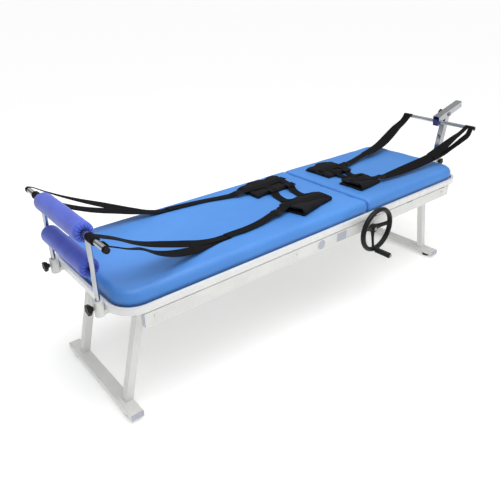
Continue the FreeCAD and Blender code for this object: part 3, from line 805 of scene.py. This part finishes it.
headStrapSide(
    "Near", -1, (1862, -178, 577),
    [(2120, -185, 672), (2038, -186, 650), (1955, -181, 617), (1900, -176, 594), (1850, -174, 579)],
    [(2134, -213, 656), (2080, -209, 633), (2000, -202, 605), (1925, -192, 585), (1860, -184, 579)],
    [(1450, -152, 549), (1500, -158, 550), (1566, -164, 554), (1630, -168, 558), (1700, -172, 563),
     (1780, -176, 570), (1868, -179, 579)],
    [38, 42, 46, 48, 50, 50, 50],
    ([-5, 0, 12, 28, 33], [30, 5, -14, 0, 26], [0, 8, 18, 26, 30, 32, 33]))
headStrapSide(
    "Far", 1, (1700, 128, 556),
    [(2130, 188, 660), (2056, 180, 634), (1975, 165, 604), (1880, 148, 576), (1780, 134, 562),
     (1690, 124, 557)],
    [(2150, 212, 664), (2056, 206, 626), (1960, 190, 592), (1870, 168, 570), (1780, 148, 559),
     (1700, 132, 555)],
    [(1478, 96, 546), (1520, 102, 546), (1570, 110, 547), (1620, 118, 550), (1660, 123, 554),
     (1712, 129, 559)],
    [42, 40, 38, 38, 40, 42],
    ([20, 22, 14, 6, 2, 0], [20, 22, 14, 6, 2, 0], 0))


# Webbing wound round the top bar beside a post: a closed sleeve about the bar, thickened by the turns
# under it, with a raised free end, and a little uneven along the bar.
def barSleeve(name, side):
    radius = barRadius + strap["thick"]
    begin, length = strap["sleeve"]
    y = side * np.linspace(begin, begin + length, 16)
    angle = circle(48)
    lap = strap["lap"] * np.maximum(0, np.cos(angle / 2)) ** 8
    uneven = 0.35 * np.sin(y / 5.0)[:, None] * np.cos(2 * angle)[None]
    r = radius + strap["wound"] + lap[None] + uneven
    r[0] = r[-1] = radius - strap["thick"] + 0.3
    grid = turned(topBar, r, angle, y[:, None])
    uv = np.stack(np.broadcast_arrays(y[:, None], radius * angle[None]), -1) / 1000
    obj = surface(name, grid, "black_webbing", uv=uv)
    return finishPiece(obj, "foot_frame", "foot_straps")


barSleeve("barSleeveNear", -1)
barSleeve("barSleeveFar", 1)
print("webbing made")

panel = {
    "thick": 8.0,  # one padded layer before it is blown up
    "gap": 2.5,  # between the two layers of the fold
    "step": 4.0,
    "across": 22,  # points across each layer
    "end": 9.0,  # length over which an end rounds off
    "tuck": (14.0, 40.0),  # how far a corner draws in, and over what length
    "sharp": 14,  # how soon a free edge rounds off
    "voxel": 4.0,
    "cap": 4.0,
    "pressure": 3.0,
    "grow": 0.015,
    "fill": 0.5,
}
# Each panel: its ends along the bed, the fold, the free edges of the lower and upper layer, a seed,
# then lugs (place, half-length, depth), how the fold slants, how the lower layer's ends slant, the
# lift of the upper layer and how far the fold gapes at its first end.
belts = {
    "pelvicPanelFar": (842, 1118, 62, 224, 208, 5, ((950, 45, 14), (1065, 34, 18)), 0.0,
                       (8.0, -62.0)),
    "pelvicPanelNear": (824, 1094, -216, -64, -76, 9, ((1000, 70, 8),), 52.0, (46.0, 4.0), 4.0, 20.0),
    "chestPanelFar": (1284, 1480, 34, 206, 190, 13, ((1400, 40, 14),), -6.0, (10.0, -20.0)),
    "chestPanelNear": (1268, 1440, -186, -38, -46, 21, (), 16.0, (10.0, 0.0), 4.0, 18.0),
}
beltBase = padTop + 0.6


# A padded panel folded once along the bed. Across it the middle line runs in from the free edge of
# the lower layer, round the bend and back over the top; the skin is half a layer either side of
# that line, and the panel's ends round off as a square root.
def foldedPanel(name, x0, x1, bend, low, high, seed, lugs, lean, slant, lift=0.0, mouth=0.0):
    t, base, count = panel["thick"], beltBase, panel["across"]
    turn = math.copysign(1, low - bend)
    rows = int((x1 - x0) / panel["step"])
    u = np.linspace(0, 1, rows)
    room = t + panel["gap"]
    radius = (room + mouth * (1 - u) ** 1.5) / 2
    x = x0 + (x1 - x0) * u
    edge = np.minimum(u, 1 - u) * (x1 - x0)
    close = np.sqrt(np.clip(1 - (1 - np.clip(edge / panel["end"], 0, 1)) ** 2, 0.0, 1))
    depth, span = panel["tuck"]
    tuck = depth * (1 - np.clip(edge / span, 0, 1)) ** 2
    grow = np.zeros(rows)
    for where, span, depth in lugs:
        grow = grow + depth * np.exp(-((x - where) / span) ** 4)
    settle = np.linspace(0, 1, count) ** 1.5
    arc = np.linspace(-math.pi / 2, math.pi / 2, 8)[1:-1]
    lines = []
    for k in range(rows):
        fold = bend + lean * u[k]
        r = radius[k]
        lower = np.linspace(low - turn * tuck[k], fold + turn * r, count)
        upper = np.linspace(fold + turn * r, high + turn * grow[k] - turn * tuck[k], count)
        y = np.concatenate([lower, fold + turn * (r - r * np.cos(arc)), upper])
        z = np.concatenate([np.full(count, base + t / 2), base + t / 2 + r + r * np.sin(arc),
                            base + t / 2 + 2 * r + (room + lift - 2 * r) * settle])
        share = np.clip((low - y) / (low - fold), 0, 1)
        lines.append(np.stack([x[k] + share * (slant[0] * (1 - u[k]) + slant[1] * u[k]), y, z], -1))
    line = np.array(lines)
    run = unit(np.gradient(line, axis=1))
    out = np.stack([np.zeros(run.shape[:2]), -run[..., 2], run[..., 1]], -1)
    along = np.linspace(0, 1, line.shape[1])
    nearEdge = np.clip(np.minimum(along, 1 - along) * panel["sharp"], 0, 1)
    taper = np.sqrt(np.clip(1 - (1 - nearEdge) ** 2, 0, 1))
    half = (t / 2 * taper[None] * close[:, None])[..., None]
    grid = np.concatenate([line + out * half, (line - out * half)[:, ::-1]], 1)
    top = np.clip((grid[..., 2] - base) / (2 * t), 0, 1)
    grid[..., 2] += ripple(grid * [1, 1, 0.2], 70, seed) * 2.2 * top
    grid[..., 1] += ripple(grid, 90, seed + 1) * 2.0
    grid[..., 2] = np.maximum(grid[..., 2], base + 0.3)
    obj = surface(name, grid, "black_padding")
    swell(obj, panel, np.array([x0 - 6, min(low, bend, high) - 12, base]),
          np.array([x1 + 6, max(low, bend, high) + 26, base + 46]))
    pelvic = name.startswith("pelvic")
    return finishPiece(obj, "foot_section" if pelvic else "base",
                       "pelvic_belt" if pelvic else "chest_belt")


panels = [foldedPanel(name, *shape) for name, shape in belts.items()]
print("belts made")

buckle = {
    "width": 44.0,
    "length": 30.0,
    "bar": 2.6,  # radius of the moulded frame
    "corner": 4.0,
    "crossBars": (-5.0, 5.0),
}


# A rounded rectangle about a centre, in the plane of two directions.
def ringPath(centre, across, run, width, length, corner):
    marks = []
    for sx, sy, start in ((1, 1, 0), (-1, 1, 90), (-1, -1, 180), (1, -1, 270)):
        a = np.radians(np.linspace(start, start + 90, 6))
        marks.append(np.stack([sx * (width / 2 - corner) + corner * np.cos(a),
                               sy * (length / 2 - corner) + corner * np.sin(a)], -1))
    flat = np.vstack(marks)
    return centre + flat[:, :1] * across + flat[:, 1:] * run


# A round bar along a path; flatten squeezes it upwards.
def tube(name, path, radius, slot, closed=False, flatten=1.0):
    p = np.asarray(path, float)
    ends = (np.roll(p, -1, 0) - np.roll(p, 1, 0)) if closed else np.gradient(p, axis=0)
    run = unit(ends)
    side = unit(np.cross(run, [0.02, 0.03, 1.0]))
    up = np.cross(side, run)
    a = circle(12)
    radius = np.broadcast_to(radius, len(p))[:, None, None]
    grid = p[:, None] + radius * (side[:, None] * np.cos(a)[None, :, None]
                                  + flatten * up[:, None] * np.sin(a)[None, :, None])
    return surface(name, grid, slot, wrapRows=closed)


# One object from several meshes of the same finish, kept in place.
def joinObjects(name, objects):
    points = []
    faces = []
    for obj in objects:
        count = sum(len(p) for p in points)
        points.append(meshPoints(obj.data))
        faces += [[v + count for v in polygon.vertices] for polygon in obj.data.polygons]
    mesh = bpy.data.meshes.new(name)
    mesh.from_pydata(place(np.vstack(points)).tolist(), [], faces)
    mesh.shade_smooth()
    mesh.materials.append(objects[0].data.materials[0])
    for obj in objects:
        bpy.data.objects.remove(obj)
    return newObject(name, mesh)


# A three-bar slide: a moulded frame with two cross bars that the webbing passes round.
def makeBuckle(name, centre, run, body, node):
    run = unit(np.array(run, float))
    across = unit(np.cross([0, 0, 1.0], run))
    centre = np.array(centre, float)
    outline = ringPath(centre, across, run, buckle["width"], buckle["length"], buckle["corner"])
    parts = [tube(name + "a", outline, buckle["bar"], "black_plastic", closed=True, flatten=0.8)]
    inside = buckle["width"] / 2 - 2
    for k, shift in enumerate(buckle["crossBars"]):
        ends = [centre + run * shift + across * s * inside for s in np.linspace(-1, 1, 5)]
        parts.append(tube(name + "b%d" % k, ends, buckle["bar"] * 0.9, "black_plastic"))
    return finishPiece(joinObjects(name, parts), body, node)


tie = {
    "pelvicWidth": 40.0,
    "chestWidth": 34.0,
    "sewnWidth": 38.0,
    "top": padTop + 24.0,  # about where the panels' upper faces are
    "pelvic": (("A", 945, -34, 118, -92), ("B", 1052, -38, 128, -84)),
    "chest": (("A", 1352, 10), ("B", 1420, -16)),
}


def makeTie(name, points, width, over, body, node):
    line = level(points, width, (1.0, 0.0, 0.0))
    finishPiece(band(name, line, over), body, node)


# The ties pass from the far panel, down across the gap and up over the near one.
def beltTies():
    top = tie["top"]
    body, node = "foot_section", "pelvic_buckle_straps"
    for label, x, lean, far, near in tie["pelvic"]:
        points = [(x + 6, far, top + 1.5), (x, far - 36, top + 1), (x - 2, 52, top - 3),
                  (x + lean * 0.3, 30, top - 13), (x + lean * 0.5, -8, padTop + 5),
                  (x + lean * 0.75, -46, padTop + 10), (x + lean, -64, top - 5),
                  (x + lean, near, top + 1)]
        makeTie("pelvicTie" + label, points, tie["pelvicWidth"], panels[:2], body, node)
        makeBuckle("pelvicSlide" + label, (x - 1, 58, top + 1), (0, 1, 0.05), body, node)
    body, node = "base", "chest_buckle_straps"
    for label, x, lean in tie["chest"]:
        points = [(x + 4, 96, top), (x, 60, top), (x, 36, top - 5), (x + lean * 0.5, 2, padTop + 9),
                  (x + lean, -30, padTop + 12), (x + lean, -52, top - 2), (x + lean, -86, top + 3)]
        makeTie("chestTie" + label, points, tie["chestWidth"], panels[2:], body, node)
    makeBuckle("chestSlide", (1420, 30, top - 1), (0, 1, -0.1), body, node)


# Webbing sewn along a panel, and the slide where the long strap meets it.
def sewnBand(label, body, node, slide, points):
    line = level(points, tie["sewnWidth"])
    finishPiece(band(label, line, panels), body, node)
    makeBuckle(label + "Slide", slide, (1, -0.05, 0.1), body, node)


beltTies()
top = tie["top"]
sewnBand("pelvicBandFar", "foot_section", "pelvic_belt", (806, 146, 548),
         [(776, 158, 541), (806, 148, 547), (850, 132, top), (930, 124, top + 2),
          (1010, 130, top + 2), (1090, 146, top)])
sewnBand("pelvicBandNear", "foot_section", "pelvic_belt", (786, -133, 549),
         [(750, -138, 546), (790, -134, 549), (842, -128, top), (920, -130, top + 4),
          (1000, -138, top + 5), (1076, -142, top + 3)])
sewnBand("chestBandFar", "base", "chest_belt", (1496, 98, 549),
         [(1300, 96, top), (1380, 92, top + 2), (1440, 92, top + 1), (1484, 96, top - 4),
          (1520, 101, 549)])
sewnBand("chestBandNear", "base", "chest_belt", (1462, -152, 553),
         [(1290, -120, top + 2), (1360, -128, top + 4), (1420, -142, top + 1), (1462, -152, 553),
          (1500, -158, 554)])
print("buckles made")

wheel = {
    "rim": 93.5,
    "section": (12.0, 10.5),  # rim half-thickness along the axle and outwards
    # direction of each spoke, and its half-width at hub and rim
    "spokes": ((5.0, 19.0, 11.0), (165.0, 19.0, 11.0), (265.0, 14.0, 6.0)),
    "spokeDepth": ([0, 0.8, 1], [8.0, 5.5, 7.5]),
    "dish": 19.0,  # hub set in from the rim
    "hub": 9.0,  # radius where the spokes start
    "hubProfile": ((8.2, 5), (10, 4.4), (14, 4.8), (16.5, 7), (18, 12), (20, 28), (18.5, 30.6),
                   (16, 31), (8.2, 31)),
    "around": 144,
    "voxel": 1.6,
    "soften": (0.6, 6),
    "rimIn": 10.0,  # rim's middle, from the wheel's outer face
}
shaftLow, shaftHigh = reach("wheel_shaft")
axle = (shaftLow + shaftHigh) / 2
rimY = reach("handwheel")[0][1] + wheel["rimIn"]


# The point at an angle and a radius about the axle.
def wheelPoint(angle, radius, y):
    a = math.radians(angle)
    return np.array([axle[0] + radius * math.cos(a), y, axle[2] + radius * math.sin(a)])


# Rim: an oval carried round the axle. Spokes: ovals from hub to rim that widen into both.
# Hub: a turned profile. All are merged and their joins softened, as in one moulding.
def makeWheel():
    around = circle(wheel["around"])
    section = circle(20)
    thick, wide = wheel["section"]
    r = wheel["rim"] + wide * np.cos(section)
    rim = turned(axle, r[None], around[:, None], rimY + thick * np.sin(section)[None])
    parts = [surface("wheelRim", rim, "black_plastic", wrapRows=True)]
    t = np.linspace(0, 1, 24)
    inward = np.array([0, 1, 0])
    for number, (angle, inner, outer) in enumerate(wheel["spokes"]):
        out = wheelPoint(angle, 1, 0) - wheelPoint(angle, 0, 0)
        across = np.array([-out[2], 0, out[0]])
        far = wheel["hub"] + (wheel["rim"] - wheel["hub"]) * t
        centre = (wheelPoint(angle, 0, rimY) + out * far[:, None]
                  + inward * (wheel["dish"] * (1 - t**1.5))[:, None])
        half = (outer + (inner - outer) * np.clip(1 - t / 0.45, 0, 1) ** 1.5
                + 6 * np.clip(t / 0.25 - 3, 0, 1) ** 2)
        depth = np.interp(t, *wheel["spokeDepth"])
        grid = (centre[:, None] + across * (half[:, None] * np.cos(section)[None])[..., None]
                + inward * (depth[:, None] * np.sin(section)[None])[..., None])
        parts.append(surface("wheelSpoke%d" % number, grid, "black_plastic"))
    profile = np.array(wheel["hubProfile"])
    hub = turned(axle, profile[:, :1], around, rimY + profile[:, 1:])
    parts.append(surface("wheelHub", hub, "black_plastic", wrapRows=True))
    obj = joinObjects("handwheelGrip", parts)
    remesh(obj, wheel["voxel"])
    soften(obj, *wheel["soften"])
    applyModifiers(obj)
    return finishPiece(obj, "drive", "handwheel")


crank = {
    "radius": 12.6,
    "rings": 16,
    "ringDepth": 0.7,
    "shoulder": 0.06,  # share of its length that rounds in at each end
    "rows": 90,
}


# A turned grip about the pin: rounded in at each end, with rings that are a cosine of the length.
def makeCrank():
    low, high = reach("crank_handle")
    middle = (low + high) / 2
    t = np.linspace(0, 1, crank["rows"])
    fromEnd = np.minimum(t, 1 - t)
    shoulder = np.sqrt(np.clip(1 - np.clip(1 - fromEnd / crank["shoulder"], 0, 1) ** 2, 0.25, 1))
    ribbed = 0.5 * (1 - np.cos(2 * math.pi * crank["rings"] * t)) * (fromEnd > 0.08)
    r = crank["radius"] * shoulder - crank["ringDepth"] * ribbed
    angle = circle(48)
    y = low[1] + (high[1] - low[1]) * t
    grid = turned(middle, r[:, None], angle, y[:, None])
    obj = surface("crankGrip", grid, "black_plastic")
    return finishPiece(obj, "crank", "crank_handle")


makeWheel()
makeCrank()
print("handwheel made")

knob = {
    "radius": 20.0,
    "lobe": 3.4,
    "height": 15.0,
    "stud": (3.9, 0.25),  # radius of the stud and depth of its thread
    "studEnd": 2.8,
}


# A five-lobed grip: its radius swings as a rounded cosine of the angle, its height profile is
# a boss, a rounded skirt and a slightly domed cap; the stud is a thread of fine rings.
def makeKnob(name, node, axis):
    low, high = reach(node)
    axis = np.array(axis, float)
    lengthways = int(np.argmax(np.abs(axis)))
    turn = axis[lengthways]
    centre = (low + high) / 2
    end, tip = (high, low) if turn > 0 else (low, high)
    end, tip = end[lengthways], tip[lengthways]
    side = np.roll(axis, 1)
    other = np.cross(axis, side)
    base = centre - axis * (centre @ axis)

    def spread(turns):
        return side * np.cos(turns)[:, None] + other * np.sin(turns)[:, None]

    angle = circle(100)
    lobes, notches = 1 - np.cos(5 * angle), 1 - np.cos(10 * angle)
    star = knob["radius"] - knob["lobe"] * lobes * 0.5 - 1.2 * notches * 0.5
    h = knob["height"]
    # share of the radius, and how far back from the outer face
    steps = [(0.22, h + 6.4), (0.42, h + 6.4), (0.44, h + 0.5), (0.80, h), (0.93, h - 1.0),
             (1.0, h - 3.4), (1.0, 4.0), (0.95, 1.6), (0.86, 0.5), (0.5, 0.0), (0.44, 0.9),
             (0.2, 0.9)]
    rows = []
    for share, back in steps:
        blend = np.clip((share - 0.42) / 0.3, 0, 1)
        r = share * (star * blend + knob["radius"] * (1 - blend))
        at = base + axis * (end * turn - back)
        rows.append(at + r[:, None] * spread(angle))
    obj = surface(name, np.array(rows), "black_plastic")
    finishPiece(obj, node, node)
    places = np.linspace(end * turn - h - 4, tip * turn, 60)
    radius, thread = knob["stud"]
    r = radius + thread * np.cos(np.arange(len(places)) * math.pi)
    r[-1] = knob["studEnd"]
    small = spread(circle(20))
    stud = np.array([base + axis * at + wide * small for at, wide in zip(places, r)])
    finishPiece(surface(name + "Stud", stud, "steel"), node, node)


makeKnob("footKnobNear", "foot_knob_near", (-1, 0, 0))
makeKnob("footKnobFar", "foot_knob_far", (-1, 0, 0))
makeKnob("headKnob", "head_knob", (0, -1, 0))
makeKnob("armKnob", "arm_knob", (0, 1, 0))
print("knobs made")


def makeFloor():
    mesh = bpy.data.meshes.new("floor")
    far = studio["floorReach"]
    corners = [(-far, -far, 0), (far, -far, 0), (far, far, 0), (-far, far, 0)]
    mesh.from_pydata(corners, [], [(0, 1, 2, 3)])
    material = bpy.data.materials.new("floor")
    material.use_nodes = True
    fill(material.node_tree, material.node_tree.nodes["Principled BSDF"], {
        "Base Color": (*studio["floor"], 1), "Roughness": studio["floorRough"],
        "Emission Color": (1, 1, 1, 1), "Emission Strength": studio["glow"]})
    mesh.materials.append(material)
    newObject("floor", mesh)


placeCamera()
placeLights()
makeFloor()
